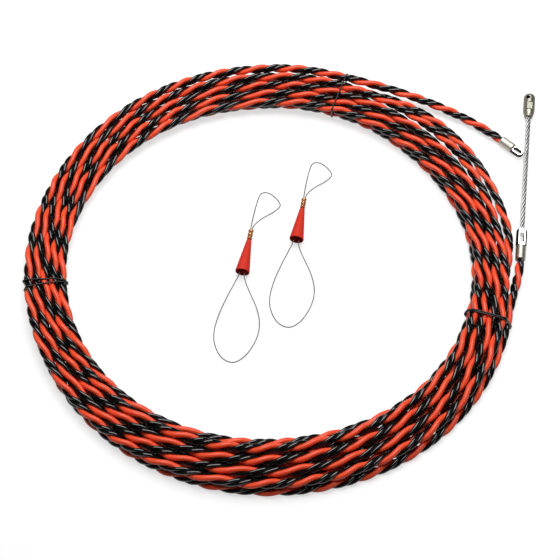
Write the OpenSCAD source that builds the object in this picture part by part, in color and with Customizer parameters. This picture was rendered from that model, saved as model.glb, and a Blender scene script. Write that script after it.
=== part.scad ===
// Three-strand fish tape wound in a flat hoop and held by three wire ties.
// A wire leader screws on at one end, a slotted eye closes the other, and two
// loose wire-noose pullers lie inside the hoop. Millimetres, +Z up, floor at 0.

/* [Tape] */
// Diameter of one of the three twisted strands
strand_d = 2.85; // [2.4:0.05:3.4]
// Clear gap between neighbouring turns
turn_gap = 0.5; // [0.48:0.01:0.8]
// Radius of the outermost turn, to its centreline
coil_r = 159; // [145:1:200]
// Whole turns wound; part of one more brings the end to its place
full_turns = 8; // [6:1:9]
// Share of extra room between turns at the loose front
front_slack = 0.4; // [0:0.01:0.45]
// Share of extra room between turns at the back
back_slack = 0.4; // [0:0.01:0.45]
// How far the turns spread outward beside the tail
flare = 4.5; // [0:0.5:8]
// Share of extra room between turns there
flare_slack = 0.27; // [0:0.01:0.4]
// How far the whole bundle is pushed outward at the front right
push = 2.5; // [0:0.1:4]
// How far the loose outer turn bows out of the bundle
bow = 9.5; // [4:0.5:13]
// Free tape between the hoop and the leader's ferrule
lead_l = 40; // [32:0.5:50]

/* [Ties] */
// Diameter of the tie wire
tie_d = 1; // [0.6:0.1:1.4]
// Clear gap between a tie, the tape and the floor
tie_gap = 0.3; // [0.2:0.05:0.5]
// Bend radius of a tie at its corners
tie_bend = 3; // [2:0.5:4]

/* [Leader] */
// Wall of both ferrules round the tape
ferrule_wall = 0.85; // [0.5:0.05:1]
// Length of the leader's ferrule
ferrule_l = 11; // [10:0.1:16]
// Depth of the tape's seat in both ferrules
tape_seat = 5; // [3:0.5:5.5]
// Width of the connector
connector_d = 7.2; // [6.8:0.1:9]
// Thickness of the connector across its pressed flats
connector_t = 5.2; // [4.8:0.1:6.6]
// Length of the connector
connector_l = 13.6; // [13:0.1:20]
// Diameter of the connector's stud
stud_d = 4; // [3:0.1:4.4]
// Length of the connector's stud
stud_l = 4.5; // [3:0.5:5]
// Width of the connector's slot
slot_w = 3.2; // [1.6:0.1:3.6]
// Length of the connector's slot, end to end
slot_l = 8.2; // [4:0.1:9]
// Diameter of the leader's wire rope
rope_d = 3.3; // [2.4:0.1:3.8]
// Bare length of the wire rope
rope_l = 93.6; // [75:0.2:140]
// Depth of the rope's seats
rope_seat = 3; // [3:0.5:5]
// Diameter of the leader's tip
tip_d = 8; // [6.6:0.1:9]
// Length of the leader's tip
tip_l = 20.6; // [18:0.2:28]
// Diameter of the tip's neck, where the rope goes in
neck_d = 5.4; // [4.8:0.1:6]
// Diameter of the cross hole in the tip
tip_hole_d = 2.6; // [2:0.1:3.2]
// Lean of the cross hole from upright
tip_hole_lean = 20; // [0:5:40]
// Length of the two crimp flats on the tip
tip_flat_l = 6; // [4:0.5:8]
// Radial play of seats and studs
fit_gap = 0.05; // [0.03:0.01:0.1]

/* [Tail eye] */
// Length of the tail's ferrule
sleeve_l = 10.4; // [10:0.1:14]
// Width of the eye
eye_d = 6.2; // [4.8:0.1:7]
// Thickness of the eye across its pressed flats
eye_t = 3; // [2.4:0.1:4.4]
// Length of the eye, from the ferrule to the centre of its round end
eye_l = 5.4; // [4.8:0.1:8]
// Width of the eye's slot
eye_slot_w = 2.8; // [1.6:0.1:3.2]
// Length of the eye's slot, end to end
eye_slot_l = 6; // [4:0.1:6.4]
// Diameter of the eye's shank in the ferrule
shank_d = 3.6; // [3:0.1:4.4]
// Length of the eye's shank
shank_l = 3.5; // [2.5:0.5:4]
// Clear gap between the eye and the leader's rope
eye_gap = 0.3; // [0.3:0.1:3]

/* [Pullers] */
// Diameter of the noose wire
wire_d = 0.7; // [0.5:0.05:0.9]
// Length of the sliding cone
cone_l = 25; // [22:0.2:34]
// Outer diameter of the cone's mouth
mouth_d = 9.6; // [8.6:0.1:12]
// Wall of the cone
cone_wall = 0.55; // [0.45:0.05:0.8]
// Length of the crimp
crimp_l = 7.6; // [7:0.1:12]
// Diameter of the crimp
crimp_d = 3.4; // [3:0.1:4.2]
// Play between the cone and the wires, and between the cone and the crimp
cone_play = 0.2; // [0.15:0.01:0.3]
// Sideways step from the first puller to the second
step_x = 36; // [32:1:44]
// Step back from the first puller to the second
step_y = 25; // [18:1:28]

/* [Hidden] */
$fn = 48;

// Three touching strands have the section of one cord of this diameter
tape_d = strand_d * sqrt(3);
pitch = tape_d + turn_gap;

// The hoop winds clockwise from the leader's end, low and outside, to the tail's end, high and outside
rings_per_turn = 24;
start_a = -15;
end_a = 75;
turns = full_turns + 0.75;
layer_turns = (turns - 0.5) / 2;
rest_h = 0.4 * tape_d;
front_a = 282;
back_a = 93;
flare_a = 37;
flare_span = 34;
push_a = 322;
push_span = 50;

// Places of the ties round the hoop
top_tie_a = 69.5;
left_tie_a = 187.5;
right_tie_a = -17;
tie_lift = tie_d + 2 * tie_gap;

// Directions that the two ends leave in, and that their fittings point in
lead_a = start_a + 90;
leader_a = lead_a + 6.4;
tail_a = end_a - 90;
eye_a = tail_a - 28;

// The fittings lie on the floor
ferrule_d = tape_d + 2 * (ferrule_wall + fit_gap);
leader_h = max(tip_d, connector_d, ferrule_d) / 2 + 0.1;
tail_h = max(ferrule_d, eye_d) / 2 + 0.1;

// Outward set of the leader beside the tangent, and fall of the tail's way below its own tangent
lead_out = 0.9;
tail_fall = 10.6;

// The wires of a pair lie side by side in the crimp and in the cone
wire_pair = wire_d / 2 + 0.03;
throat_r = wire_pair + wire_d / 2 + cone_play;
axis_h = mouth_d / 2 + 0.05;
puller_a = -10;
puller_at = [-13, 17];

// Noose, measured [across, along] from the cone's mouth
noose_pts = [
  [3, -6], [7, -13], [14, -24], [17.6, -34], [17.4, -45], [13, -57], [6, -63.5],
  [-2, -61.5], [-8, -53.5], [-10.4, -44], [-9.6, -32], [-6.8, -20], [-3.6, -9]
];

// Pull loop, measured [across, along] from the crimp's far end
loop_pts = [
  [-0.6, 4], [-0.9, 16.4], [-0.4, 27.4], [1.2, 33], [6, 34], [12, 30.4],
  [15.4, 25.4], [12, 19.4], [6, 12.4], [1.8, 5.5]
];

function unit(v) = v / norm(v);
function dir(a) = [cos(a), sin(a), 0];
function clamp01(x) = min(1, max(0, x));
function smooth(x) = let (u = clamp01(x)) u * u * (3 - 2 * u);
function apart(a, b) = abs((a - b + 3780) % 360 - 180);

// Raise of the bundle where a tie passes under it
function lift(a) =
  tie_lift * max([for (t = [top_tie_a, left_tie_a, right_tie_a]) clamp01((25 - apart(a, t)) / 12)]);

// Extra room between turns round the hoop
function flared(a) = smooth(1 - apart(a, flare_a) / flare_span);
function slack(a) =
  1 + front_slack * pow(max(0, cos(a - front_a)), 2) + back_slack * pow(max(0, cos(a - back_a)), 2)
  + flare_slack * flared(a);

// Radius of the outermost turn round the hoop, which isn't quite a circle
function outer_r(a) = coil_r + flare * flared(a) + push * smooth(1 - apart(a, push_a) / push_span);

// The first turn bows out near its end, then goes back under the start
function bowed(s) =
  let (a = (s - 0.75) * 360)
  bow * smooth(a / 33) * smooth((86 - a) / 22);

// Centre of the tape after s turns: in along the lower layer, up in half a turn, out along the upper
function coil_at(s) =
  let (a = start_a - 360 * s)
  let (t = clamp01((s - layer_turns) / 0.5))
  let (u = s < layer_turns ? s : s < layer_turns + 0.5 ? layer_turns + t * (1 - t) / 2
    : 2 * layer_turns + 0.5 - s)
  let (r = outer_r(a) - pitch * slack(a) * u + bowed(s))
  [r * cos(a), r * sin(a), rest_h + pitch * t + lift(a)];

coil_n = round(turns * rings_per_turn);
coil_mid = [for (i = [0:coil_n]) coil_at(i / rings_per_turn)];
lead_start = coil_mid[0] + tape_d * dir(lead_a);
tail_start = coil_mid[coil_n] + tape_d * dir(tail_a);
coil_pts = [lead_start, each coil_mid, tail_start];
coil_angles = [start_a, for (i = [0:coil_n]) start_a - 360 * i / rings_per_turn, end_a];

// Mouth of the leader's ferrule, with the leader's axis through it
leader_at = [lead_start.x, lead_start.y, leader_h] + lead_l * dir(lead_a) + lead_out * dir(lead_a - 90);

// The leader's own radius at a distance from its ferrule's mouth, a little past what lies there
rope_from = ferrule_l + 0.1 + connector_l;
function leader_r(u) =
  u < rope_from + eye_d ? connector_d / 2 : u > rope_from + rope_l - eye_d ? tip_d / 2 : rope_d / 2;

// The eye lies beside the leader, where the tail's way meets it, and the tail's ferrule behind the eye
way = dir(tail_a - tail_fall);
eye_along = cross(tail_start - leader_at, way).z / cross(dir(leader_a), way).z;
eye_at = [leader_at.x, leader_at.y, tail_h] + eye_along * dir(leader_a)
  + (eye_d / 2 + leader_r(eye_along) + eye_gap) * dir(leader_a + 90);
tail_at = eye_at - (sleeve_l + eye_l) * dir(eye_a);

// A smooth curve that leaves p along a and reaches q along b
function curve(p, a, q, b, n) =
  let (handle = norm(q - p) / 3, c = p + handle * dir(a), d = q - handle * dir(b))
  [for (i = [0:n]) let (u = i / n, v = 1 - u) v*v*v * p + 3*v*v*u * c + 3*v*u*u * d + u*u*u * q];

// A smooth line through points, with n steps between two of them
function through(p, n) =
  let (m = len(p) - 1)
  [for (i = [0:m - 1]) for (j = [0:n - 1]) let (u = j / n, a = p[max(0, i - 1)], b = p[i],
    c = p[i + 1], d = p[min(m, i + 2)])
    0.5 * (2*b + (c - a)*u + (2*a - 5*b + 4*c - d)*u*u + (3*b - a - 3*c + d)*u*u*u), p[m]];

// A closed line with its corners rounded over b, in n steps each
function rounded(p, b, n) =
  let (m = len(p))
  [for (i = [0:m - 1]) let (e = unit(p[(i + m - 1) % m] - p[i]), f = unit(p[(i + 1) % m] - p[i]))
    for (j = [0:n]) let (u = j / n) p[i] + b * ((1 - u)*(1 - u) * e + u*u * f)];

function tangents(p, closed) =
  let (n = len(p))
  [for (i = [0:n - 1]) closed ? unit(p[(i + 1) % n] - p[(i + n - 1) % n])
    : unit(p[min(n - 1, i + 1)] - p[max(0, i - 1)])];

// Ring of points round c, square to t, never under the floor
function ring(c, t, ref, d, sides) =
  let (b = unit(ref - (ref * t) * t), s = cross(t, b))
  [for (k = [0:sides - 1]) let (w = 360 * k / sides)
    let (q = c + d / 2 * (cos(w) * s + sin(w) * b)) [q.x, q.y, max(q.z, 0)]];

// Least distance from point p to the stretch a to b
function stretch_gap(p, a, b) =
  let (v = b - a, u = clamp01(((p - a) * v) / (v * v))) norm(p - a - u * v);

// The tape never touches itself: least clear gap between turns, measured on the hoop's own points
coil_count = len(coil_pts);
coil_gap = min([for (i = [0:coil_count - 14]) for (j = [i + 12:1:coil_count - 2])
  stretch_gap(coil_pts[i], coil_pts[j], coil_pts[j + 1])]) - tape_d;
coil_steps = [for (i = [1:coil_count - 1]) norm(coil_pts[i] - coil_pts[i - 1])];
coil_length = coil_steps * [for (l = coil_steps) 1];
union() {  // tape_coil
  echo(least_gap_between_turns = coil_gap);
  echo(tape_in_the_hoop = coil_length);
}

// Skin over a list of rings
module skin(rings, closed = false) {
  n = len(rings[0]);
  m = len(rings);
  walls = [for (i = [0:closed ? m - 1 : m - 2]) for (k = [0:n - 1])
    let (next = ((i + 1) % m) * n, a = i * n + k, b = i * n + (k + 1) % n)
    let (c = next + (k + 1) % n, d = next + k)
    each [[a, b, c], [a, c, d]]];
  last = (m - 1) * n;
  caps = closed ? [] : [for (k = [1:n - 2]) each [[0, k + 1, k], [last, last + k, last + k + 1]]];
  polyhedron(points = [for (r = rings) each r], faces = concat(walls, caps), convexity = 12);
}

// Round cord along a line, square to the directions e0 and e1 at its ends
module cord(p, d, sides, e0, e1) {
  t = tangents(p, false);
  m = len(p) - 1;
  skin([for (i = [0:m]) ring(p[i], i == 0 ? e0 : i == m ? e1 : t[i], [0, 0, 1], d, sides)]);
}

// Wire bent into a closed line, seen square to the direction ref
module wire_loop(p, d, ref) {
  t = tangents(p, true);
  skin([for (i = [0:len(p) - 1]) ring(p[i], t[i], ref, d, 8)], true);
}

// Puts a piece that is drawn along +Z at p, pointing in the level direction a
module lay(p, a) {
  translate(p) rotate([0, 0, a]) rotate([0, 90, 0]) children();
}

// Through slot with round ends, across a piece drawn along +Z, from z0 to z1
module cross_slot(w, z0, z1) {
  rotate([0, 90, 0]) {
    for (z = [z0 + w / 2, z1 - w / 2]) translate([-z, 0, -10]) cylinder(d = w, h = 20);
    translate([-z1 + w / 2, -w / 2, -10]) cube([z1 - z0 - w, w, 20]);
  }
}

// The hoop: one unbroken tube, six-sided, flat where it lies on the floor
module tape_coil() {
  color([0.82, 0.2, 0.12])
    skin([for (i = [0:coil_count - 1])
      let (s = -dir(coil_angles[i]))
      [for (k = [0:5]) let (q = coil_pts[i] + tape_d / 2 * (cos(60 * k) * s + sin(60 * k) * [0, 0, 1]))
        [q.x, q.y, max(q.z, 0)]]]);
}

// Free tape from the hoop to the leader's ferrule, seated in it
module tape_lead() {
  path = curve(lead_start, lead_a, leader_at, leader_a, 6);
  color([0.82, 0.2, 0.12])
    cord([each path, leader_at + (tape_seat - 0.1) * dir(leader_a)], tape_d, 12, dir(lead_a), dir(leader_a));
}

// Free tape from the hoop's top, down to the tail's ferrule
module tape_tail() {
  path = curve(tail_start, tail_a, tail_at, eye_a, 10);
  color([0.82, 0.2, 0.12])
    cord([each path, tail_at + (tape_seat - 0.1) * dir(eye_a)], tape_d, 12, dir(tail_a), dir(eye_a));
}

// Turned ferrule of length l: tape seat behind, a bore of diameter d and depth h in front
module ferrule(l, d, h) {
  edge = ferrule_wall / 2;
  difference() {
    rotate_extrude() polygon([
      [0, 0], [ferrule_d / 2 - edge, 0], [ferrule_d / 2, edge], [ferrule_d / 2, l - edge],
      [ferrule_d / 2 - edge, l], [0, l]
    ]);
    translate([0, 0, -1]) cylinder(r = tape_d / 2 + fit_gap, h = tape_seat + 1);
    translate([0, 0, l - h]) cylinder(d = d, h = h + 1);
  }
}

module lead_ferrule() {
  color([0.72, 0.7, 0.66]) lay(leader_at, leader_a) ferrule(ferrule_l, stud_d + 2 * fit_gap, stud_l + 0.2);
}

module tail_ferrule() {
  color([0.72, 0.7, 0.66]) lay(tail_at, eye_a) ferrule(sleeve_l, shank_d + 2 * fit_gap, shank_l + 0.2);
}

// A slab that leaves two flats, t apart, on a piece drawn along +Z from z0 to z1
module between_flats(t, z0, z1) {
  translate([-t / 2, -10, z0]) cube([t, 20, z1 - z0]);
}

// Round-ended eye, pressed flat round its long slot, its shank in the ferrule
module tail_eye() {
  slot_back = 0.8;
  color([0.72, 0.7, 0.66]) lay(tail_at, eye_a) translate([0, 0, sleeve_l]) difference() {
    union() {
      translate([0, 0, 0.1 - shank_l]) cylinder(d = shank_d, h = shank_l + 0.3);
      intersection() {
        union() {
          translate([0, 0, 0.1]) cylinder(d = eye_d, h = eye_l - 0.1);
          translate([0, 0, eye_l]) sphere(d = eye_d);
        }
        between_flats(eye_t, 0, eye_l + eye_d);
      }
    }
    cross_slot(eye_slot_w, slot_back, slot_back + eye_slot_l);
  }
}

// Section of the bundle at a tie: inner and outer radius of the tie, and its upper height
function tie_in(a) =
  (outer_r(a) - pitch * slack(a) * (layer_turns + 0.125)) * cos(180 / rings_per_turn)
  - tape_d / 2 - tie_gap - tie_d / 2;
function tie_out(a, r) = r + tape_d / 2 + tie_gap + tie_d / 2;
tie_low = tie_gap / 2 + tie_d / 2;
tie_high = rest_h + pitch + 0.433 * tape_d + tie_lift + tie_gap + tie_d / 2;

// Point of a tie at angle a: r outward, s sideways, h up
function tie_pt(a, r, s, h) = r * dir(a) + s * dir(a + 90) + [0, 0, h];

// Wire wound twice round the bundle; sides s0 and s1 change over at the top or at the outer wall
module double_tie(a, half, over_top) {
  ri = tie_in(a);
  ro = tie_out(a, outer_r(a));
  rise = 1.5 * tie_d;
  up = over_top ? rise : 0;
  out = over_top ? 0 : rise;
  far = over_top ? half : -half;
  p = [
    tie_pt(a, ri, -half, tie_low), tie_pt(a, ri, -half, tie_high), tie_pt(a, ro, far, tie_high),
    tie_pt(a, ro, half, tie_low), tie_pt(a, ri, half, tie_low), tie_pt(a, ri, half, tie_high + up),
    tie_pt(a, ro + out, -far, tie_high + up), tie_pt(a, ro + out, -half, tie_low)
  ];
  wire_loop(rounded(p, tie_bend, 4), tie_d, dir(a + 90));
}

// Wound once, it also takes in the tail's end, which leaves the hoop along a tangent
module tie_top() {
  ri = tie_in(top_tie_a);
  ro = tie_out(top_tie_a, outer_r(end_a) / cos(end_a - top_tie_a));
  p = [for (q = [[ri, tie_low], [ri, tie_high], [ro, tie_high], [ro, tie_low]])
    tie_pt(top_tie_a, q[0], 0, q[1])];
  color([0.08, 0.08, 0.08]) wire_loop(rounded(p, tie_bend, 4), tie_d, dir(top_tie_a + 90));
}

module tie_left() {
  color([0.08, 0.08, 0.08]) double_tie(left_tie_a, 2.5, true);
}

module tie_right() {
  color([0.08, 0.08, 0.08]) double_tie(right_tie_a, 1, false);
}

// Domed end of radius r that starts at height z and rises by h, as profile points
function dome(r, z, h) = [for (w = [0:9:81]) [r * cos(w), z + h * sin(w)]];

// Connector: stud in the ferrule, pressed flat round its long slot, rope seat in its domed front
module leader_connector() {
  dome_h = connector_d * 0.36;
  back = ferrule_l + 0.1;
  slot_back = back + 1.3;
  color([0.72, 0.7, 0.66]) lay(leader_at, leader_a) difference() {
    union() {
      translate([0, 0, back - stud_l]) cylinder(d = stud_d, h = stud_l + 0.5);
      intersection() {
        translate([0, 0, back]) rotate_extrude() polygon([
          [0, 0], [connector_d / 2 - 0.4, 0], [connector_d / 2, 0.4],
          each dome(connector_d / 2, connector_l - dome_h, dome_h), [0, connector_l]
        ]);
        between_flats(connector_t, back, back + connector_l);
      }
    }
    translate([0, 0, back + connector_l - rope_seat]) cylinder(r = rope_d / 2 + fit_gap, h = rope_seat + 1);
    cross_slot(slot_w, slot_back, slot_back + slot_l);
  }
}

module leader_rope() {
  color([0.62, 0.62, 0.6]) lay(leader_at, leader_a)
    translate([0, 0, rope_from - rope_seat + 0.1]) cylinder(d = rope_d, h = rope_l + 2 * rope_seat - 0.2);
}

// Tip: tapered neck, grooved, crimp flats above and below, domed front, leaning cross hole
module leader_tip() {
  dome_h = tip_d * 0.42;
  neck_l = 4.5;
  groove_end = neck_l + 1.2;
  flat_depth = 0.45;
  color([0.72, 0.7, 0.66]) lay(leader_at, leader_a) translate([0, 0, rope_from + rope_l]) difference() {
    rotate_extrude() polygon([
      [0, 0], [neck_d / 2 - 0.3, 0], [neck_d / 2, 0.3], [tip_d / 2 - 0.2, neck_l],
      [tip_d / 2 - 0.5, neck_l + 0.2], [tip_d / 2 - 0.5, neck_l + 0.9], [tip_d / 2, groove_end],
      each dome(tip_d / 2, tip_l - dome_h, dome_h), [0, tip_l]
    ]);
    translate([0, 0, -1]) cylinder(r = rope_d / 2 + fit_gap, h = rope_seat + 1);
    for (side = [0, 180]) rotate([0, 0, side])
      translate([tip_d / 2 - flat_depth, -10, groove_end]) cube([10, 20, tip_flat_l]);
    translate([0, 0, tip_l - dome_h - 0.6 * tip_hole_d]) rotate([0, 0, -tip_hole_lean]) rotate([0, 90, 0])
      cylinder(d = tip_hole_d, h = 20, center = true);
  }
}

// Point of a puller: across, along its axis from the cone's apex, and up
function puller_pt(at, l, a, h) =
  [at.x + l * cos(puller_a) - a * sin(puller_a), at.y + l * sin(puller_a) + a * cos(puller_a), h];

// The wires come down from the axis to the floor
function noose_h(a) = axis_h + (wire_d / 2 - axis_h) * smooth((-a - cone_l) / 45);
function loop_h(a) = axis_h + (wire_d / 2 - axis_h) * smooth((a - crimp_l) / 24);

// Noose: from the crimp through the cone, round and back
module noose(at) {
  half = crimp_l / 2 - 0.3;
  own = [
    [wire_pair, half], [wire_pair, -1], [1.6, -cone_l], for (p = noose_pts) [p[0], p[1] - cone_l],
    [-1.6, -cone_l], [-wire_pair, -1], [-wire_pair, half]
  ];
  line = through(own, 2);
  ax = dir(puller_a + 90);
  color([0.6, 0.6, 0.6]) cord([for (p = line) puller_pt(at, p[0], p[1], noose_h(p[1]))], wire_d, 8, -ax, ax);
}

// Pull loop: from the crimp's other end, round and back
module pull_loop(at) {
  half = crimp_l / 2 + 0.3;
  own = [
    [-wire_pair, half], [-wire_pair, crimp_l], for (p = loop_pts) [p[0], p[1] + crimp_l],
    [wire_pair, crimp_l], [wire_pair, half]
  ];
  line = through(own, 2);
  ax = dir(puller_a + 90);
  color([0.6, 0.6, 0.6]) cord([for (p = line) puller_pt(at, p[0], p[1], loop_h(p[1]))], wire_d, 8, ax, -ax);
}

// Crimp: a barrel with two pinched waists over the four wire ends
module crimp(at) {
  r = crimp_d / 2;
  waist = r * 0.8;
  color([0.72, 0.42, 0.24]) lay(puller_pt(at, 0, 0, axis_h), puller_a + 90) difference() {
    rotate_extrude() polygon([
      [0, 0], [r - 0.3, 0], [r, 0.3], [r, crimp_l * 0.18], [waist, crimp_l * 0.3], [r, crimp_l * 0.42],
      [r, crimp_l * 0.58], [waist, crimp_l * 0.7], [r, crimp_l * 0.82], [r, crimp_l - 0.3],
      [r - 0.3, crimp_l], [0, crimp_l]
    ]);
    translate([0, 0, -1]) cylinder(r = wire_pair + wire_d / 2 + fit_gap, h = crimp_l + 2);
  }
}

// Sliding cone: thin and hollow, with a rounded shoulder at the throat
module cone(at) {
  throat = throat_r + cone_wall;
  mouth = mouth_d / 2;
  color([0.7, 0.13, 0.1]) lay(puller_pt(at, 0, -cone_play, axis_h), puller_a - 90) rotate_extrude() polygon([
    [throat_r, 0], [throat - 0.25, 0], [throat, 0.25], [throat + 0.3, 1.2], [mouth, cone_l - 0.4],
    [mouth - 0.15, cone_l], [mouth - cone_wall, cone_l], [throat_r + 0.3, 1.4], [throat_r, 0.6]
  ]);
}

first = puller_at;
second = puller_at + [step_x, step_y];

module puller_1_noose() { noose(first); }
module puller_1_pull_loop() { pull_loop(first); }
module puller_1_crimp() { crimp(first); }
module puller_1_cone() { cone(first); }
module puller_2_noose() { noose(second); }
module puller_2_pull_loop() { pull_loop(second); }
module puller_2_crimp() { crimp(second); }
module puller_2_cone() { cone(second); }

tape_coil();
tape_lead();
tape_tail();
lead_ferrule();
tail_ferrule();
tail_eye();
tie_top();
tie_left();
tie_right();
leader_connector();
leader_rope();
leader_tip();
puller_1_noose();
puller_1_pull_loop();
puller_1_crimp();
puller_1_cone();
puller_2_noose();
puller_2_pull_loop();
puller_2_crimp();
puller_2_cone();
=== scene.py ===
import math

import bpy
import numpy as np
from mathutils import Matrix, Vector


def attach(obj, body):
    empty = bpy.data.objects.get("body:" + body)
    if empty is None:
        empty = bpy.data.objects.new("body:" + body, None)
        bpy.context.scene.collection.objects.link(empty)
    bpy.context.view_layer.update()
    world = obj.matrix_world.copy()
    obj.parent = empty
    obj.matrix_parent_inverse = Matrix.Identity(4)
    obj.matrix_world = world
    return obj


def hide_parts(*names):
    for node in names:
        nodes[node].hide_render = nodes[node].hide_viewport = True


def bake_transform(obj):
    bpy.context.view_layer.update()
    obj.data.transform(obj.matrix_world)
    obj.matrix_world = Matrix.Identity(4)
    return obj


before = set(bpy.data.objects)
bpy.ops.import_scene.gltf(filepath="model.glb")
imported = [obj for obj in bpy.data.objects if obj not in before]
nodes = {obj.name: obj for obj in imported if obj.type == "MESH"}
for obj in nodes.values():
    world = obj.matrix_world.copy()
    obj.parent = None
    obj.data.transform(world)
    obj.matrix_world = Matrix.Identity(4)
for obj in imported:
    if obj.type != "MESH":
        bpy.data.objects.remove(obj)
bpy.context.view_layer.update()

mm = 0.001


# Camera: it stands in front of the hoop and looks down on it at about 60 degrees,
# through a long lens, with the hoop filling a square picture.
camera_elevation = math.radians(60.5)
camera_distance = 800 * mm
sensor_mm, focal_px, picture_px = 36, 1200, 560
aim_right_px, aim_down_px = 11.4, 14.6


def new_object(name, data):
    """Object in the scene, with its origin at the part's own."""
    made = bpy.data.objects.new(name, data)
    bpy.context.scene.collection.objects.link(made)
    return made


rightward = Vector((1, 0, 0))
forward = Vector((0, math.cos(camera_elevation), -math.sin(camera_elevation)))
upward = Vector((0, math.sin(camera_elevation), math.cos(camera_elevation)))
aim = forward + rightward * (aim_right_px / focal_px) - upward * (aim_down_px / focal_px)
aim = aim.normalized()
level = (rightward - aim * aim.x).normalized()
camera_data = bpy.data.cameras.new("camera")
camera_data.sensor_width = sensor_mm
camera_data.lens = sensor_mm * focal_px / picture_px
camera_data.clip_start = 10 * mm
camera = new_object("camera", camera_data)
camera.location = -forward * camera_distance
camera.rotation_euler = Matrix((level, level.cross(aim), -aim)).transposed().to_euler()
bpy.context.scene.camera = camera


# The tape: three glossy extruded plastic strands, one orange-red and two black, twisted to the left
# and wound by hand in a flat hoop of two layers. Its ends run out to the leader and to the tail's eye.
strand_d, turn_gap = 2.85, 0.5
tape_d = strand_d * math.sqrt(3)
pitch, rest_h = tape_d + turn_gap, 0.4 * tape_d
crown_rise, upper_rise = 0.6, 0.3
coil_r, turns, change_turns = 159.0, 8.75, 0.5
layer_turns = (turns - change_turns) / 2
start_a, end_a = -15.0, 75.0
front_a, back_a, slack_share = 282.0, 93.0, 0.4
flare_a, flare_span, flare, flare_slack = 37.0, 34.0, 4.5, 0.27
push_a, push_span, push = 322.0, 50.0, 2.5
bow, bow_from, bow_rise, bow_to, bow_fall = 9.5, 0.75, 33.0, 86.0, 22.0
tie_angles = (69.5, 187.5, -17.0)
tie_lift, tie_reach, tie_ramp = 1.6, 25.0, 12.0
leader_lean, eye_lean = 6.4, 28.0
lead_a, tail_a = start_a + 90, end_a - 90
leader_a, eye_a = lead_a + leader_lean, tail_a - eye_lean
lead_l, lead_out, tail_fall = 40.0, 0.9, 10.6
leader_h, tail_h = 4.1, 3.468
rope_d, eye_d, eye_gap = 3.3, 6.2, 0.3
sleeve_l, eye_l, seat = 10.4, 5.4, 4.9
rings_per_turn, lead_steps, tail_steps = 560, 28, 84
straight_up = np.array([0, 0, 1.0])


def toward(angle):
    """Level unit vector at an angle in degrees."""
    return np.array([math.cos(math.radians(angle)), math.sin(math.radians(angle)), 0.0])


def eased(x):
    """Smooth step from 0 to 1."""
    u = np.clip(x, 0, 1)
    return u * u * (3 - 2 * u)


def apart(a, b):
    """Angle between two directions, in degrees."""
    return np.abs((a - b + 3780) % 360 - 180)


def hoop_line(s):
    """Middle of the tape after s turns, in millimetres, with the rise that lets it lie on its strands."""
    a = start_a - 360 * s
    t = np.clip((s - layer_turns) / change_turns, 0, 1)
    rising = np.where(t < 1, layer_turns + change_turns * t * (1 - t), 2 * layer_turns + change_turns - s)
    u = np.where(s < layer_turns, s, rising)
    front = np.maximum(0, np.cos(np.radians(a - front_a))) ** 2
    back = np.maximum(0, np.cos(np.radians(a - back_a))) ** 2
    flared = eased(1 - apart(a, flare_a) / flare_span)
    room = 1 + slack_share * (front + back) + flare_slack * flared
    outer_r = coil_r + flare * flared + push * eased(1 - apart(a, push_a) / push_span)
    bow_a = (s - bow_from) * 360
    bowed = bow * eased(bow_a / bow_rise) * eased((bow_to - bow_a) / bow_fall)
    r = outer_r - pitch * room * u + bowed
    near_tie = [np.clip((tie_reach - apart(a, tie)) / tie_ramp, 0, 1) for tie in tie_angles]
    lift = tie_lift * np.max(near_tie, axis=0)
    z = rest_h + pitch * t + lift + crown_rise + upper_rise * t
    return np.stack([r * np.cos(np.radians(a)), r * np.sin(np.radians(a)), z], 1)


def free_line(p, a, q, b, n):
    """Smooth line of n steps that leaves p along angle a and reaches q along angle b."""
    u = np.linspace(0, 1, n + 1)[:, None]
    v = 1 - u
    handle = np.linalg.norm(q - p) / 3
    c, d = p + handle * toward(a), q - handle * toward(b)
    return v**3 * p + 3 * v**2 * u * c + 3 * v * u**2 * d + u**3 * q


def unit_rows(v):
    """Directions of a list of vectors."""
    return v / np.linalg.norm(v, axis=1)[:, None]


def steps_of(line):
    """Lengths of a line's steps."""
    return np.linalg.norm(np.diff(line, axis=0), axis=1)


hoop_s = np.linspace(0, turns, int(turns * rings_per_turn) + 1)
hoop = hoop_line(hoop_s)
lead_start = hoop[0] + tape_d * toward(lead_a)
tail_start = hoop[-1] + tape_d * toward(tail_a)
leader_at = np.array([lead_start[0], lead_start[1], leader_h])
leader_at = leader_at + lead_l * toward(lead_a) + lead_out * toward(lead_a - 90)
way = toward(tail_a - tail_fall)
eye_along = np.cross(tail_start - leader_at, way)[2] / np.cross(toward(leader_a), way)[2]
eye_at = np.array([leader_at[0], leader_at[1], tail_h]) + eye_along * toward(leader_a)
eye_at = eye_at + (eye_d / 2 + rope_d / 2 + eye_gap) * toward(leader_a + 90)
tail_at = eye_at - (sleeve_l + eye_l) * toward(eye_a)
lead_run = free_line(lead_start, lead_a, leader_at, leader_a, lead_steps)
tail_run = free_line(tail_start, tail_a, tail_at, eye_a, tail_steps)
tape_line = np.concatenate([
    [leader_at + seat * toward(leader_a), leader_at + seat / 2 * toward(leader_a)],
    lead_run[::-1],
    [hoop[0] + tape_d / 2 * toward(lead_a)],
    hoop,
    [hoop[-1] + tape_d / 2 * toward(tail_a)],
    tail_run,
    [tail_at + seat / 2 * toward(eye_a), tail_at + seat * toward(eye_a)],
])
tape_along = unit_rows(np.gradient(tape_line, axis=0))
tape_up = unit_rows(straight_up - tape_along[:, 2:3] * tape_along)
tape_side = np.cross(tape_up, tape_along)

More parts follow.
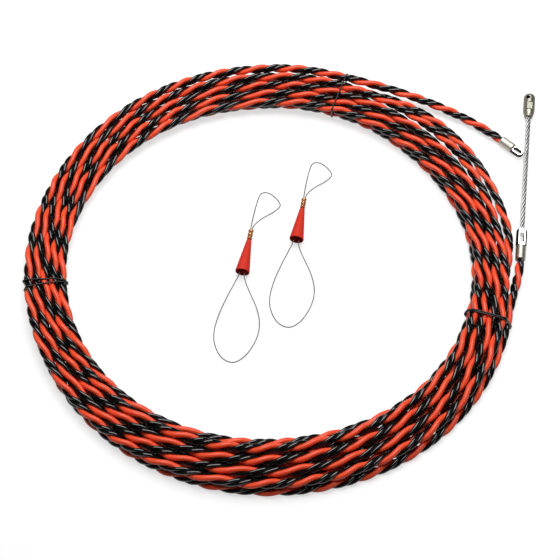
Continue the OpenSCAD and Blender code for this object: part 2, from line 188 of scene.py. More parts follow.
# The twist has one lay all along, with slow and quick waves in it as from winding by hand. Each wave has
# its size in turns, its length for a radian, and its start. In the ferrules the strands are swaged closer.
red_d, black_d, strand_sides = 3.6, 2.5, 12
red_helix_r, black_helix_r, black_share = 1.43, 1.9, 0.386
tape_lay, first_turn = 29.827, 0.02
twist_waves = ((0.45, 440, 1.1), (0.3, 190, 0), (0.12, 71, 0), (0.07, 27, 0), (0.05, 17.3, 0))
swaged, swage_l = 0.79, 6
floor_gap = 0.05
tape_run = np.concatenate([[0], np.cumsum(steps_of(tape_line))])
uneven = sum(size * np.sin(tape_run / length + start) for size, length, start in twist_waves)
uneven = uneven - np.interp(tape_run, tape_run[[0, -1]], uneven[[0, -1]])
turned = first_turn + tape_run / tape_lay + uneven
to_ferrule = np.minimum(tape_run, tape_run[-1] - tape_run) - seat
snug = (swaged + (1 - swaged) * eased(to_ferrule / swage_l))[:, None]


def wire_rings(line, outward, radius, sides, closed=False):
    """Rings of points square to a line; outward gives each ring's first direction."""
    run = np.roll(line, -1, axis=0) - np.roll(line, 1, axis=0) if closed else np.gradient(line, axis=0)
    along = unit_rows(run)
    first = unit_rows(outward - (outward * along).sum(1)[:, None] * along)
    second = np.cross(along, first)
    w = np.arange(sides) * 2 * np.pi / sides
    radius = np.broadcast_to(radius, len(line))[:, None, None]
    return (
        line[:, None, :]
        + radius * np.cos(w)[None, :, None] * first[:, None, :]
        + radius * np.sin(w)[None, :, None] * second[:, None, :]
    )


def tube_mesh(name, tubes, closed=False):
    """Piece made of tubes over rings of points in millimetres; its UV map has u along and v round."""
    points, faces, corners = [], [], []
    base = 0
    for rings in tubes:
        count, sides = rings.shape[:2]
        i, k = np.meshgrid(np.arange(count if closed else count - 1), np.arange(sides), indexing="ij")
        i, k = i.reshape(-1), k.reshape(-1)
        ahead, beside = (i + 1) % count, (k + 1) % sides
        quads = np.stack([ahead * sides + k, ahead * sides + beside, i * sides + beside, i * sides + k], 1)
        faces += (base + quads).tolist()
        middle = rings.mean(axis=1)
        steps = np.linalg.norm(np.diff(middle, axis=0, append=middle[:1]), axis=1)
        run = np.concatenate([[0], np.cumsum(steps)]) * mm
        u = np.stack([run[i + 1], run[i + 1], run[i], run[i]], 1)
        v = np.stack([k, k + 1, k + 1, k], 1) / sides
        corners.append(np.stack([u, v], -1).reshape(-1, 2))
        if not closed:
            ends = [list(range(sides)), [(count - 1) * sides + j for j in range(sides)][::-1]]
            faces += [[base + j for j in end] for end in ends]
            corners.append(np.zeros((2 * sides, 2)))
        points.append(rings.reshape(-1, 3) * mm)
        base += count * sides
    mesh = bpy.data.meshes.new(name)
    mesh.from_pydata(np.concatenate(points).tolist(), [], faces)
    uv = np.concatenate(corners).astype(np.float32)
    mesh.uv_layers.new(name="along").data.foreach_set("uv", uv.reshape(-1))
    mesh.polygons.foreach_set("use_smooth", [len(face) == 4 for face in faces])
    return new_object(name, mesh)


def feed(tree, socket, value):
    """Gives a socket a number, a colour, or what another node puts out."""
    if isinstance(value, bpy.types.NodeSocket):
        tree.links.new(value, socket)
    elif isinstance(value, tuple):
        socket.default_value = (*value, 1)
    else:
        socket.default_value = value


def sums(tree, operation, first, second=None):
    """One step of arithmetic on masks, lengths or plain numbers."""
    node = tree.nodes.new("ShaderNodeMath")
    node.operation = operation
    feed(tree, node.inputs[0], first)
    if second is not None:
        feed(tree, node.inputs[1], second)
    return node.outputs[0]


def spread(tree, value, low, high):
    """Stretches a mask from 0 and 1 to low and high."""
    node = tree.nodes.new("ShaderNodeMapRange")
    node.inputs["To Min"].default_value = low
    node.inputs["To Max"].default_value = high
    tree.links.new(value, node.inputs["Value"])
    return node.outputs["Result"]


def between(tree, value, start, end):
    """Mask that rises smoothly from 0 to 1 as a value goes from start to end."""
    node = tree.nodes.new("ShaderNodeMapRange")
    node.interpolation_type = "SMOOTHSTEP"
    node.inputs["From Min"].default_value = start
    node.inputs["From Max"].default_value = end
    tree.links.new(value, node.inputs["Value"])
    return node.outputs["Result"]


def clouds(tree, where, scale, detail, roughness=0.5):
    """Noise that changes over the surface."""
    node = tree.nodes.new("ShaderNodeTexNoise")
    node.inputs["Detail"].default_value = detail
    node.inputs["Roughness"].default_value = roughness
    tree.links.new(where, node.inputs["Vector"])
    feed(tree, node.inputs["Scale"], scale)
    return node.outputs["Fac"]


def stretched(tree, where, scale):
    """Coordinates scaled along each axis."""
    node = tree.nodes.new("ShaderNodeMapping")
    node.inputs["Scale"].default_value = scale
    tree.links.new(where, node.inputs["Vector"])
    return node.outputs["Vector"]


def effect(name, inputs, outputs):
    """Node group on coordinates with named sockets: the group, what goes in, and its sockets out."""
    group = bpy.data.node_groups.new(name, "ShaderNodeTree")
    group.interface.new_socket("Vector", in_out="INPUT", socket_type="NodeSocketVector")
    for socket in inputs:
        group.interface.new_socket(socket, in_out="INPUT", socket_type="NodeSocketFloat")
    for socket in outputs:
        group.interface.new_socket(socket, in_out="OUTPUT", socket_type="NodeSocketFloat")
    return group, group.nodes.new("NodeGroupInput").outputs, group.nodes.new("NodeGroupOutput").inputs


# Draw lines run along extruded plastic and drawn wire, on the UV map that follows them.
draw_lines, lines_in, lines_out = effect("draw_lines", ["Fineness"], ["Lines"])
lines_along = stretched(draw_lines, lines_in["Vector"], (0.3, 1, 1))
lines_noise = clouds(draw_lines, lines_along, lines_in["Fineness"], detail=3.0)
draw_lines.links.new(lines_noise, lines_out["Lines"])

# Scuffs are the few dull, rubbed patches that handling leaves.
scuffs, scuffs_in, scuffs_out = effect("scuffs", ["Size"], ["Rubbed", "Cloud"])
scuffs_noise = clouds(scuffs, scuffs_in["Vector"], scuffs_in["Size"], detail=7.0, roughness=0.7)
scuffs.links.new(between(scuffs, scuffs_noise, 0.58, 0.72), scuffs_out["Rubbed"])
scuffs.links.new(scuffs_noise, scuffs_out["Cloud"])


def place_effect(tree, group, where, **values):
    """Puts a node group in a material, with its own values and its coordinates."""
    node = tree.nodes.new("ShaderNodeGroup")
    node.node_tree = group
    for socket, value in values.items():
        node.inputs[socket].default_value = value
    tree.links.new(where, node.inputs["Vector"])
    return node.outputs


def blend_colour(tree, mask, low, high):
    """Goes from a low to a high colour by a mask."""
    mix = tree.nodes.new("ShaderNodeMix")
    mix.data_type = "RGBA"
    feed(tree, mix.inputs["A"], low)
    feed(tree, mix.inputs["B"], high)
    tree.links.new(mask, mix.inputs["Factor"])
    return mix.outputs["Result"]


def bumped(tree, height, strength, distance):
    """Normals of a surface with small bumps."""
    node = tree.nodes.new("ShaderNodeBump")
    node.inputs["Strength"].default_value = strength
    node.inputs["Distance"].default_value = distance
    tree.links.new(height, node.inputs["Height"])
    return node.outputs["Normal"]


def new_finish(name, settings):
    """New material with settings for its shader: the material, its tree and its shader's inputs."""
    material = bpy.data.materials.new(name)
    material.use_nodes = True
    inputs = material.node_tree.nodes["Principled BSDF"].inputs
    for socket, value in settings.items():
        inputs[socket].default_value = value
    return material, material.node_tree, inputs


def object_place(tree):
    """Coordinates of the object itself."""
    return tree.nodes.new("ShaderNodeTexCoord").outputs["Object"]


def wire_place(tree):
    """The UV map that runs along a strand or wire and round it."""
    node = tree.nodes.new("ShaderNodeUVMap")
    node.uv_map = "along"
    return node.outputs["UV"]


def surface(tree, inputs, colour, roughness, normal):
    """Links the three things that change over every surface."""
    tree.links.new(colour, inputs["Base Color"])
    tree.links.new(roughness, inputs["Roughness"])
    tree.links.new(normal, inputs["Normal"])


def strand_plastic(name, settings, colour, tint, rubbed, roughness):
    """Extruded glossy plastic: faint draw lines along the strand, a slow change of tint, few scuffs."""
    material, tree, inputs = new_finish(name, settings)
    lines = place_effect(tree, draw_lines, wire_place(tree), Fineness=22.0)["Lines"]
    rub = place_effect(tree, scuffs, object_place(tree), Size=55.0)
    base = blend_colour(tree, rub["Cloud"], colour, tint)
    base = blend_colour(tree, rub["Rubbed"], base, rubbed)
    gloss = spread(tree, lines, roughness - 0.04, roughness + 0.05)
    gloss = sums(tree, "ADD", gloss, spread(tree, rub["Rubbed"], 0.0, 0.1))
    surface(tree, inputs, base, gloss, bumped(tree, lines, strength=0.04, distance=0.3 * mm))
    return material


lets_light_in = {"Subsurface Weight": 0.3, "Subsurface Radius": (1, 0.25, 0.12), "Subsurface Scale": 2 * mm}
strand_red = strand_plastic(
    "strand_red", {"IOR": 1.45, **lets_light_in},
    colour=(0.97, 0.078, 0.024), tint=(1.0, 0.105, 0.036), rubbed=(1.0, 0.14, 0.058), roughness=0.36)
strand_black = strand_plastic(
    "strand_black", {"IOR": 1.6},
    colour=(0.001, 0.001, 0.0012), tint=(0.002, 0.002, 0.0025), rubbed=(0.008, 0.008, 0.009), roughness=0.08)
strands = []
for strand_name, share, helix_r, diameter, finish in (
    ("strand_red", 0.0, red_helix_r, red_d, strand_red),
    ("strand_black_one", black_share, black_helix_r, black_d, strand_black),
    ("strand_black_two", -black_share, black_helix_r, black_d, strand_black),
):
    phase = -2 * np.pi * (turned + share)
    outward = np.cos(phase)[:, None] * tape_side + np.sin(phase)[:, None] * tape_up
    strand_line = tape_line + helix_r * snug * outward
    strands.append((strand_line, diameter / 2))
    rings = wire_rings(strand_line, outward, diameter / 2 * snug[:, 0], strand_sides)
    rings[:, :, 2] = np.maximum(rings[:, :, 2], floor_gap)
    strand = tube_mesh(strand_name, [rings])
    strand.data.materials.append(finish)
    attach(strand, "hoop")
    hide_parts("tape_coil", "tape_lead", "tape_tail")


# The ties: black coated wire, bent round the bundle by hand and pulled tight over the strands' crowns.
# One is wound once, at the back; the other two are wound twice, and their windings cross at the inner side.
tie_d, tie_sides = 1.0, 10
tie_steps, hull_steps = 150, 720
inner_share, cross_share, over_share, step_over = 0.5, 0.12, 0.1, 1.05
crown_r = red_helix_r + red_d / 2
tie_black, tie_tree, tie_inputs = new_finish("tie_black", {"IOR": 1.5})
tie_lines = place_effect(tie_tree, draw_lines, wire_place(tie_tree), Fineness=9.0)["Lines"]
tie_rub = place_effect(tie_tree, scuffs, object_place(tie_tree), Size=260.0)["Rubbed"]
tie_base = blend_colour(tie_tree, tie_rub, (0.01, 0.01, 0.01), (0.08, 0.08, 0.08))
tie_gloss = spread(tie_tree, tie_lines, 0.24, 0.42)
tie_bump = bumped(tie_tree, tie_lines, strength=0.2, distance=0.1 * mm)
surface(tie_tree, tie_inputs, tie_base, tie_gloss, tie_bump)


def crossings(line, angle, shift):
    """Distance out and height at which a line crosses a tie's plane, which shift moves sideways."""
    out = line @ toward(angle)
    across = line @ toward(angle + 90) - shift(out)
    cut = np.nonzero((across[:-1] * across[1:] <= 0) & (out[:-1] > 0))[0]
    share = across[cut] / (across[cut] - across[cut + 1])
    return np.stack([out[cut] + share * (out[cut + 1] - out[cut]),
                     line[cut, 2] + share * (line[cut + 1, 2] - line[cut, 2])], 1)


def tie_round(angle, shift):
    """Line of a wire pulled tight round the strands, as distance out and height."""
    centres, radii = [], []
    for strand_line, strand_r in strands:
        met = crossings(strand_line, angle, shift)
        centres.append(met)
        radii.append(np.full(len(met), strand_r))
    centres, radii = np.concatenate(centres), np.concatenate(radii)
    w = np.arange(hull_steps) * 2 * np.pi / hull_steps
    normal = np.stack([np.cos(w), np.sin(w)], 1)
    outermost = np.argmax(normal @ centres.T + radii, axis=1)
    tight = centres[outermost] + (radii[outermost] + tie_d / 2)[:, None] * normal
    tight[:, 1] = np.maximum(tight[:, 1], tie_d / 2 + floor_gap)
    tight = np.concatenate([tight, tight[:1]])
    run = np.concatenate([[0], np.cumsum(steps_of(tight))])
    at = np.arange(tie_steps) * run[-1] / tie_steps
    return np.stack([np.interp(at, run, tight[:, 0]), np.interp(at, run, tight[:, 1])], 1)


def tie_piece(name, angle, inner_half, outer_half, windings):
    """Closed wire tube round the bundle; two windings stand apart by twice the halves, inside and outside."""
    middles = crossings(tape_line, angle, np.zeros_like)[:, 0]
    inside, outside = middles.min() - crown_r, middles.max() + crown_r

    def half_apart(out):
        return inner_half + (outer_half - inner_half) * np.clip((out - inside) / (outside - inside), 0, 1)

    one = np.concatenate([tie_round(angle, lambda out: -half_apart(out))] * windings)
    other = np.concatenate([tie_round(angle, half_apart)] * windings)
    past_cross = np.arange(len(one)) / tie_steps - inner_share
    swap = eased((past_cross + cross_share / 2) / cross_share)
    swap = swap - eased((past_cross - 1 + cross_share / 2) / cross_share)
    line = one + (other - one) * swap[:, None]
    side = (2 * swap - 1) * half_apart(line[:, 0])
    over = eased(1 - np.abs(past_cross - 1) / over_share)
    out = line[:, 0] - step_over * tie_d * over
    wire = out[:, None] * toward(angle) + side[:, None] * toward(angle + 90)
    wire[:, 2] = line[:, 1]
    sideways = np.tile(toward(angle + 90), (len(wire), 1))
    rings = wire_rings(wire, sideways, tie_d / 2, tie_sides, closed=True)
    piece = tube_mesh(name + "_wire", [rings], closed=True)
    piece.data.materials.append(tie_black)
    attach(piece, "hoop")
    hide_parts(name)


tie_piece("tie_top", tie_angles[0], inner_half=0.0, outer_half=0.0, windings=1)
tie_piece("tie_left", tie_angles[1], inner_half=0.55, outer_half=2.8, windings=2)
tie_piece("tie_right", tie_angles[2], inner_half=0.52, outer_half=0.52, windings=2)


# The metal ends: turned and nickel-plated brass. A ferrule is pressed on each end of the tape; the tail's
# holds a slotted eye, and the leader's connector and tip are crimped on its wire rope.
lathe_marks, lathe_in, lathe_out = effect("lathe_marks", ["Fineness"], ["Marks", "Stain"])
lathe_round = stretched(lathe_marks, lathe_in["Vector"], (1, 0.04, 0.04))
lathe_noise = clouds(lathe_marks, lathe_round, lathe_in["Fineness"], detail=4.0)
lathe_marks.links.new(lathe_noise, lathe_out["Marks"])
lathe_marks.links.new(clouds(lathe_marks, lathe_in["Vector"], 190.0, detail=5.0), lathe_out["Stain"])


def own_axes(tree, where, place, turn):
    """Coordinates measured from a place, along axes that are turned."""
    node = tree.nodes.new("ShaderNodeMapping")
    node.vector_type = "TEXTURE"
    node.inputs["Location"].default_value = place
    node.inputs["Rotation"].default_value = turn
    tree.links.new(where, node.inputs["Vector"])
    return node.outputs["Vector"]


def split_axes(tree, where):
    """The three coordinates on their own."""
    node = tree.nodes.new("ShaderNodeSeparateXYZ")
    tree.links.new(where, node.inputs["Vector"])
    return node.outputs


def away(tree, first, second):
    """Distance from two lengths that are square to each other."""
    squares = sums(tree, "ADD", sums(tree, "POWER", first, 2.0), sums(tree, "POWER", second, 2.0))
    return sums(tree, "SQRT", squares)


def paint_shade_round_slot(tree, axes, clear_of_painted_shade, start, end, width, flat_half, rim):
    """Paints shade beyond a strip round a slot and on a rim; with rim 0 the slot's walls keep their colour.
    """
    nearest = sums(tree, "MINIMUM", sums(tree, "MAXIMUM", axes["X"], start * mm), end * mm)
    off_slot = away(tree, sums(tree, "SUBTRACT", axes["X"], nearest), axes["Y"])
    wall, fade = width / 2, 0.25
    # Painted shade past a band round the slot darkens the outer edges.
    strip = between(tree, off_slot, flat_half * mm, (flat_half - fade) * mm)
    clear_of_painted_shade = sums(tree, "MULTIPLY", clear_of_painted_shade, strip)
    if rim:
        # Painted shade: a dark rim round the slot.
        past_shade_rim = between(tree, off_slot, (wall + 0.6 * rim) * mm, (wall + rim) * mm)
        return sums(tree, "MULTIPLY", clear_of_painted_shade, past_shade_rim)
    # The slot's walls are kept out of the painted shade.
    on_wall = between(tree, off_slot, (wall + 0.3) * mm, (wall + 0.1) * mm)
    return sums(tree, "MAXIMUM", clear_of_painted_shade, on_wall)


def nickel_plate(name, at, angle, dark, bright, smooth, dull, edge=0.3, flats_and_painted_shade=None, slot=None, hole=None):
    """Plated metal with turning marks round the axis that passes through a point at a level angle.

    Flats keep the metal's own colour from a height of their own up; the sides under them are painted
    darker as shade, and are duller. A hole, at a place along the axis, is painted dark inside as shade.
    All lengths are in millimetres.
    """
    material, tree, inputs = new_finish(
        name, {"Metallic": 1.0, "Specular Tint": (edge, edge, 0.93 * edge, 1)})
    where = object_place(tree)
    local = own_axes(tree, where, tuple(at * mm), (0, 0, math.radians(angle)))
    turning = place_effect(tree, lathe_marks, local, Fineness=2600.0)
    rub = place_effect(tree, scuffs, where, Size=420.0)["Rubbed"]
    base = blend_colour(tree, turning["Stain"], dark, bright)
    base = blend_colour(tree, rub, base, (0.7, 0.68, 0.61))
    gloss = spread(tree, turning["Marks"], smooth, dull)
    if flats_and_painted_shade:
        axes = split_axes(tree, local)
        height = sums(tree, "ABSOLUTE", axes["Z"])
        clear_of_painted_shade = between(tree, height, flats_and_painted_shade["foot"] * mm, flats_and_painted_shade["top"] * mm)
        if slot:
            clear_of_painted_shade = paint_shade_round_slot(tree, axes, clear_of_painted_shade, **slot)
        # Painted shade: the sides below the flat faces take a darker colour of their own.
        base = blend_colour(tree, clear_of_painted_shade, flats_and_painted_shade["side"], base)
        gloss = sums(tree, "ADD", gloss, spread(tree, clear_of_painted_shade, flats_and_painted_shade["side_dull"], 0.0))
    if hole:
        bore = own_axes(tree, local, (hole["along"] * mm, 0, 0), (-math.radians(hole["lean"]), 0, 0))
        axes = split_axes(tree, bore)
        off_axis = away(tree, axes["X"], axes["Y"])
        outside = between(tree, off_axis, (hole["radius"] + 0.05) * mm, (hole["radius"] + 0.2) * mm)
        # Painted shade: the inside of the hole is coloured nearly black.
        base = blend_colour(tree, outside, (0.02, 0.02, 0.018), base)
    bump = bumped(tree, turning["Marks"], strength=0.15, distance=0.05 * mm)
    surface(tree, inputs, base, gloss, bump)
    return material


def dress(node, material):
    """Gives a solid of the part its material."""
    nodes[node].data.materials.clear()
    nodes[node].data.materials.append(material)


satin = dict(dark=(0.58, 0.57, 0.5), bright=(0.72, 0.7, 0.63), smooth=0.5, dull=0.7)
turned_bright = dict(dark=(0.38, 0.372, 0.322), bright=(0.5, 0.49, 0.425), smooth=0.4, dull=0.55)
polished = dict(dark=(0.6, 0.595, 0.57), bright=(0.76, 0.755, 0.73), smooth=0.08, dull=0.2, edge=0.06)
crimped = dict(dark=(0.3, 0.294, 0.242), bright=(0.42, 0.41, 0.345), smooth=0.36, dull=0.5)
# Painted shade colours for the sides below the polished and crimped flat faces.
polished_painted_shade, crimped_painted_shade = (0.07, 0.07, 0.066), (0.34, 0.332, 0.27)
dress("tail_ferrule", nickel_plate("satin_nickel_tail", tail_at, eye_a, **satin))
dress("tail_eye", nickel_plate(
    "polished_nickel_tail", tail_at, eye_a, **polished,
    flats_and_painted_shade=dict(foot=1.3, top=1.44, side=polished_painted_shade, side_dull=0.4),
    slot=dict(start=12.6, end=15.8, width=2.8, flat_half=2.6, rim=0.45)))
dress("lead_ferrule", nickel_plate("bright_nickel_leader", leader_at, leader_a, **turned_bright))
dress("leader_connector", nickel_plate(
    "polished_nickel_leader", leader_at, leader_a, **polished,
    flats_and_painted_shade=dict(foot=2.44, top=2.56, side=polished_painted_shade, side_dull=0.4),
    slot=dict(start=11.1, end=24.0, width=3.2, flat_half=2.3, rim=0)))
dress("leader_tip", nickel_plate(
    "crimped_nickel_tip", leader_at, leader_a, **crimped,
    flats_and_painted_shade=dict(foot=2.8, top=3.6, side=crimped_painted_shade, side_dull=0.1),
    hole=dict(along=133.98, radius=1.3, lean=20.0)))


# The leader's wire rope: six strands of bright steel wires laid to the right round a core, with each
# strand's own wires twisted the other way. Its ends sit in the connector and in the tip.
rope_from, rope_l, rope_seat, rope_steps = 24.7, 93.6, 2.9, 190
rope_strands, rope_lay, rope_strand_r = 6, 23.0, 0.52
rope_helix_r = rope_d / 2 - rope_strand_r
strand_wires, strand_lay = 6, 9.0
rope_wire_r, rope_wire_out, rope_wire_sides = 0.2, 0.32, 6
core_r, core_sides = 0.62 * rope_helix_r, 8
valley_shade_edge, valley_shade_fade = 0.4, 0.4
rope_u = np.linspace(rope_from - rope_seat, rope_from + rope_l + rope_seat, rope_steps)
rope_along = toward(leader_a)
rope_side = np.cross(straight_up, rope_along)
rope_middle = leader_at + rope_u[:, None] * rope_along
rope_tubes, rope_valley_shade = [], []
for strand_number in range(rope_strands):
    w = 2 * np.pi * (rope_u / rope_lay + strand_number / rope_strands)
    out_of_rope = np.cos(w)[:, None] * rope_side + np.sin(w)[:, None] * straight_up
    strand_middle = rope_middle + rope_helix_r * out_of_rope
    strand_along = unit_rows(np.gradient(strand_middle, axis=0))
    beside = np.cross(strand_along, out_of_rope)
    for wire_number in range(strand_wires):
        q = -2 * np.pi * (rope_u / strand_lay + wire_number / strand_wires)
        out_of_strand = np.cos(q)[:, None] * out_of_rope + np.sin(q)[:, None] * beside
        wire = strand_middle + rope_wire_out * out_of_strand
        wire_tube = wire_rings(wire, out_of_strand, rope_wire_r, rope_wire_sides)
        # Painted shade: wire points that face into the rope, away from its outside, are marked to be
        # darkened.
        from_strand = wire_tube - strand_middle[:, None, :]
        crown = (from_strand * out_of_rope[:, None, :]).sum(2) / np.linalg.norm(from_strand, axis=2)
        rope_tubes.append(wire_tube)
        rope_valley_shade.append(1 - eased((crown - valley_shade_edge) / valley_shade_fade).reshape(-1))
core_up = np.tile(straight_up, (rope_steps, 1))
rope_tubes.append(wire_rings(rope_middle, core_up, core_r, core_sides))
# The core is marked for painted shade all over.
rope_valley_shade.append(np.ones(rope_steps * core_sides))
leader_rope = tube_mesh("leader_wire_rope", rope_tubes)
valley_shade = leader_rope.data.attributes.new("valley_shade", "FLOAT", "POINT")
valley_shade.data.foreach_set("value", np.concatenate(rope_valley_shade))


def drawn_wire(name, dark, bright, smooth, dull, fineness, valley_shade=None):
    """Bright drawn steel with fine lines along it, grey film in patches, and painted shade in a rope's
    valleys.
    """
    material, tree, inputs = new_finish(name, {"Metallic": 1.0, "Specular Tint": (0.35, 0.35, 0.35, 1)})
    lines = place_effect(tree, draw_lines, wire_place(tree), Fineness=fineness)["Lines"]
    film = place_effect(tree, scuffs, object_place(tree), Size=300.0)["Cloud"]
    base = blend_colour(tree, film, dark, bright)
    if valley_shade:
        # Painted shade: the marked points in a rope's valleys and its core are coloured nearly black.
        valley_shade_node = tree.nodes.new("ShaderNodeAttribute")
        valley_shade_node.attribute_name = valley_shade
        base = blend_colour(tree, valley_shade_node.outputs["Fac"], base, (0.025, 0.025, 0.025))
    gloss = spread(tree, lines, smooth, dull)
    surface(tree, inputs, base, gloss, bumped(tree, lines, strength=0.15, distance=0.05 * mm))
    return material


rope_steel = drawn_wire(
    "rope_steel", dark=(0.68, 0.68, 0.67), bright=(0.84, 0.84, 0.83), smooth=0.25, dull=0.4, fineness=6.0,
    valley_shade="valley_shade")
leader_rope.data.materials.append(rope_steel)
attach(leader_rope, "leader")
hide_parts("leader_rope")


# The pullers: a loop of thin steel wire on each side of a copper crimp. The noose goes through a red
# plastic cone, which slides down the wires and closes it over what it pulls.
puller_a = -10.0
puller_places = {1: (-13.0, 17.0), 2: (23.0, 42.0)}
wire_d, wire_sides, axis_h = 0.7, 10, 4.85
cone_l, crimp_l = 25.0, 7.6
wire_pair, wire_rest = wire_d / 2 + 0.03, wire_d / 2 + 0.02
noose_in, loop_in = crimp_l / 2 - 0.3, crimp_l / 2 + 0.3
throat_depth, mouth_half = 1.0, 1.6
noose_fall, loop_fall, bend_steps = 45, 24, 10
noose_points = [
    (3, -6), (7, -13), (14, -24), (17.6, -34), (17.4, -45), (13, -57), (6, -63.5),
    (-2, -61.5), (-8, -53.5), (-10.4, -44), (-9.6, -32), (-6.8, -20), (-3.6, -9),
]
loop_points = [
    (-0.6, 4), (-0.9, 16.4), (-0.4, 27.4), (1.2, 33), (6, 34), (12, 30.4),
    (15.4, 25.4), (12, 19.4), (6, 12.4), (1.8, 5.5),
]
noose_steel = drawn_wire(
    "noose_steel", dark=(0.16, 0.16, 0.16), bright=(0.26, 0.26, 0.255), smooth=0.5, dull=0.65, fineness=5.0)


def through(points):
    """Smooth line through points, with the same steps between any two of them."""
    p = np.array(points, float)
    p = np.concatenate([p[:1], p, p[-1:]])
    u = (np.arange(bend_steps) / bend_steps)[:, None]
    parts = []
    for a, b, c, d in zip(p[:-3], p[1:-2], p[2:-1], p[3:]):
        bend = (2 * a - 5 * b + 4 * c - d) * u**2 + (3 * b - a - 3 * c + d) * u**3
        parts.append(0.5 * (2 * b + (c - a) * u + bend))
    return np.concatenate(parts + [p[-1:]])


def puller_line(at, flat, height):
    """Puts points [across, along the axis] at a puller's place, at a height for each."""
    across, along = toward(puller_a), toward(puller_a + 90)
    line = np.array([*at, 0.0]) + flat[:, :1] * across + flat[:, 1:2] * along
    line[:, 2] = height
    return line


def on_axis(at, along):
    """Place on a puller's axis, measured from the crimp's face at the cone, in metres."""
    return tuple(puller_line(at, np.array([[0.0, along]]), axis_h)[0] * mm)


def wire_piece(name, lines):
    """Round wires on lines."""
    rings = [wire_rings(line, np.tile(straight_up, (len(line), 1)), wire_d / 2, wire_sides) for line in lines]
    piece = tube_mesh(name, rings)
    piece.data.materials.append(noose_steel)
    return piece


# A noose's two neck wires go from the crimp to half-way down the cone, where its loop begins, and are
# a piece apart from the loop. On the puller itself the cone takes that place with it as it slides, so
# the neck gets longer and the loop shorter.
neck_steps = 15
for number, at in puller_places.items():
    noose_flat = through(
        [(wire_pair, noose_in), (wire_pair, -throat_depth), (mouth_half, -cone_l)]
        + [(across, along - cone_l) for across, along in noose_points]
        + [(-mouth_half, -cone_l), (-wire_pair, -throat_depth), (-wire_pair, noose_in)])
    loop_flat = through(
        [(-wire_pair, loop_in), (-wire_pair, crimp_l)]
        + [(across, along + crimp_l) for across, along in loop_points]
        + [(wire_pair, crimp_l), (wire_pair, loop_in)])
    noose_h = axis_h + (wire_rest - axis_h) * eased((-noose_flat[:, 1] - cone_l) / noose_fall)
    loop_h = axis_h + (wire_rest - axis_h) * eased((loop_flat[:, 1] - crimp_l) / loop_fall)
    noose_line = puller_line(at, noose_flat, noose_h)
    loop_line = puller_line(at, loop_flat, loop_h)
    neck_lines = [noose_line[: neck_steps + 1], noose_line[-neck_steps - 1 :]]
    noose_line = noose_line[neck_steps:-neck_steps]
    noose_end = noose_flat[:, 1].min()
    puller, cone = f"puller_{number}", f"cone_{number}"
    neck = wire_piece(f"{puller}_neck_wires", neck_lines)
    on_axis(at, 0.0)
    on_axis(at, -throat_depth)
    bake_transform(neck)
    noose = wire_piece(f"{puller}_noose_wire", [noose_line])
    on_axis(at, -cone_l)
    on_axis(at, noose_end)
    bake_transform(noose)
    pull_loop = wire_piece(f"{puller}_pull_loop_wire", [loop_line])
    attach(pull_loop, puller)
    for piece, solid in ((neck, "noose"), (noose, "noose"), (pull_loop, "pull_loop")):
        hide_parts(f"{puller}_{solid}")

# Pinch marks wind round a crimp, where the tool's jaws turned as they closed.
pinch_marks, pinch_in, pinch_out = effect("pinch_marks", ["Starts", "Rise"], ["Marks"])
pinch_axes = split_axes(pinch_marks, pinch_in["Vector"])
pinch_round = sums(pinch_marks, "ARCTAN2", pinch_axes["Z"], pinch_axes["Y"])
pinch_round = sums(pinch_marks, "MULTIPLY", pinch_round, pinch_in["Starts"])
pinch_rise = sums(pinch_marks, "MULTIPLY", pinch_axes["X"], pinch_in["Rise"])
pinch_wave = sums(pinch_marks, "SINE", sums(pinch_marks, "ADD", pinch_rise, pinch_round))
pinch_marks.links.new(between(pinch_marks, pinch_wave, 0.1, 0.85), pinch_out["Marks"])
pinch_starts, pinch_lead = -4.0, 2.4


def crimp_copper(name, at):
    """Soft copper with winding pinch grooves painted dark as shade, and brown film, round a puller's own
    axis.
    """
    material, tree, inputs = new_finish(name, {"Metallic": 1.0, "Specular Tint": (0.4, 0.3, 0.22, 1)})
    where = object_place(tree)
    place = (at[0] * mm, at[1] * mm, axis_h * mm)
    local = own_axes(tree, where, place, (0, 0, math.radians(puller_a + 90)))
    rise = 2 * math.pi / (pinch_lead * mm)
    marks = place_effect(tree, pinch_marks, local, Starts=pinch_starts, Rise=rise)["Marks"]
    film = place_effect(tree, scuffs, where, Size=520.0)["Cloud"]
    base = blend_colour(tree, film, (0.5, 0.2, 0.08), (0.86, 0.46, 0.22))
    # Painted shade: the pinch grooves are coloured dark brown.
    base = blend_colour(tree, marks, base, (0.22, 0.08, 0.035))
    gloss = spread(tree, film, 0.36, 0.56)
    bump = bumped(tree, spread(tree, marks, 1.0, 0.0), strength=0.8, distance=0.25 * mm)
    surface(tree, inputs, base, gloss, bump)
    return material


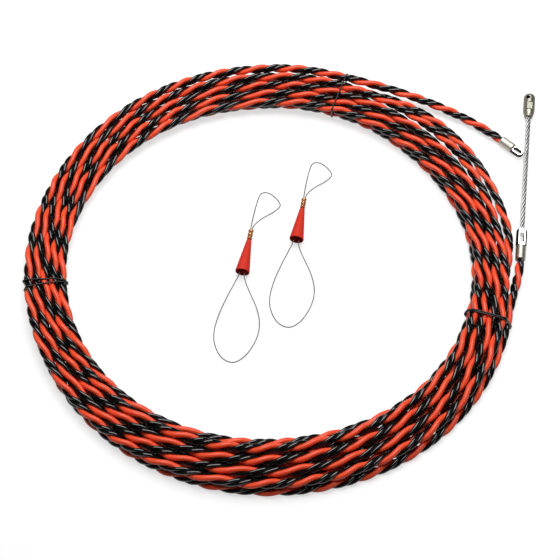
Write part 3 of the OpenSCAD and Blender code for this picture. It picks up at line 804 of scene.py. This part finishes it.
cone_red, cone_tree, cone_inputs = new_finish("cone_red", {"IOR": 1.32})
cone_where = object_place(cone_tree)
cone_rub = place_effect(cone_tree, scuffs, cone_where, Size=240.0)
cone_grain = place_effect(cone_tree, scuffs, cone_where, Size=2200.0)["Cloud"]
cone_base = blend_colour(cone_tree, cone_rub["Cloud"], (0.62, 0.022, 0.009), (0.72, 0.036, 0.015))
cone_base = blend_colour(cone_tree, cone_rub["Rubbed"], cone_base, (0.76, 0.08, 0.045))
cone_gloss = spread(cone_tree, cone_grain, 0.55, 0.75)
cone_bump = bumped(cone_tree, cone_grain, strength=0.25, distance=0.06 * mm)
surface(cone_tree, cone_inputs, cone_base, cone_gloss, cone_bump)
for number, at in puller_places.items():
    dress(f"puller_{number}_crimp", crimp_copper(f"crimp_copper_{number}", at))
    dress(f"puller_{number}_cone", cone_red)


# Floor and light: a plain white sheet under the part, one wide soft lamp overhead and dim surroundings.
# The sheet glows a little to the camera, so that it stays white round the part's own shadow.
sheet_half, sheet_glow = 4.0, 0.66
sheet_corners = [(-sheet_half, -sheet_half, 0), (sheet_half, -sheet_half, 0),
                 (sheet_half, sheet_half, 0), (-sheet_half, sheet_half, 0)]
floor_mesh = bpy.data.meshes.new("floor")
floor_mesh.from_pydata(sheet_corners, [], [(0, 1, 2, 3)])
floor = new_object("floor", floor_mesh)
paper, paper_tree, paper_inputs = new_finish("paper", {
    "Base Color": (0.42, 0.42, 0.42, 1), "Roughness": 0.9, "Specular IOR Level": 0.1,
    "Emission Color": (1, 1, 1, 1),
})
ray = paper_tree.nodes.new("ShaderNodeLightPath").outputs
seen = sums(paper_tree, "MAXIMUM", ray["Is Camera Ray"], ray["Is Glossy Ray"])
seen = sums(paper_tree, "MAXIMUM", seen, ray["Is Transmission Ray"])
paper_tree.links.new(sums(paper_tree, "MULTIPLY", seen, sheet_glow), paper_inputs["Emission Strength"])
floor.data.materials.append(paper)

lamp_data = bpy.data.lights.new("softbox", "AREA")
lamp_data.size = 0.9
lamp_data.energy = 15.6
lamp = new_object("softbox", lamp_data)
lamp.location = 0.05, 0.45, 1.0

world = bpy.data.worlds.new("studio")
bpy.context.scene.world = world
world.use_nodes = True
surround = world.node_tree.nodes["Background"]
surround.inputs["Color"].default_value = (1, 1, 1, 1)
surround.inputs["Strength"].default_value = 0.06
bpy.context.scene.view_settings.view_transform = "Standard"
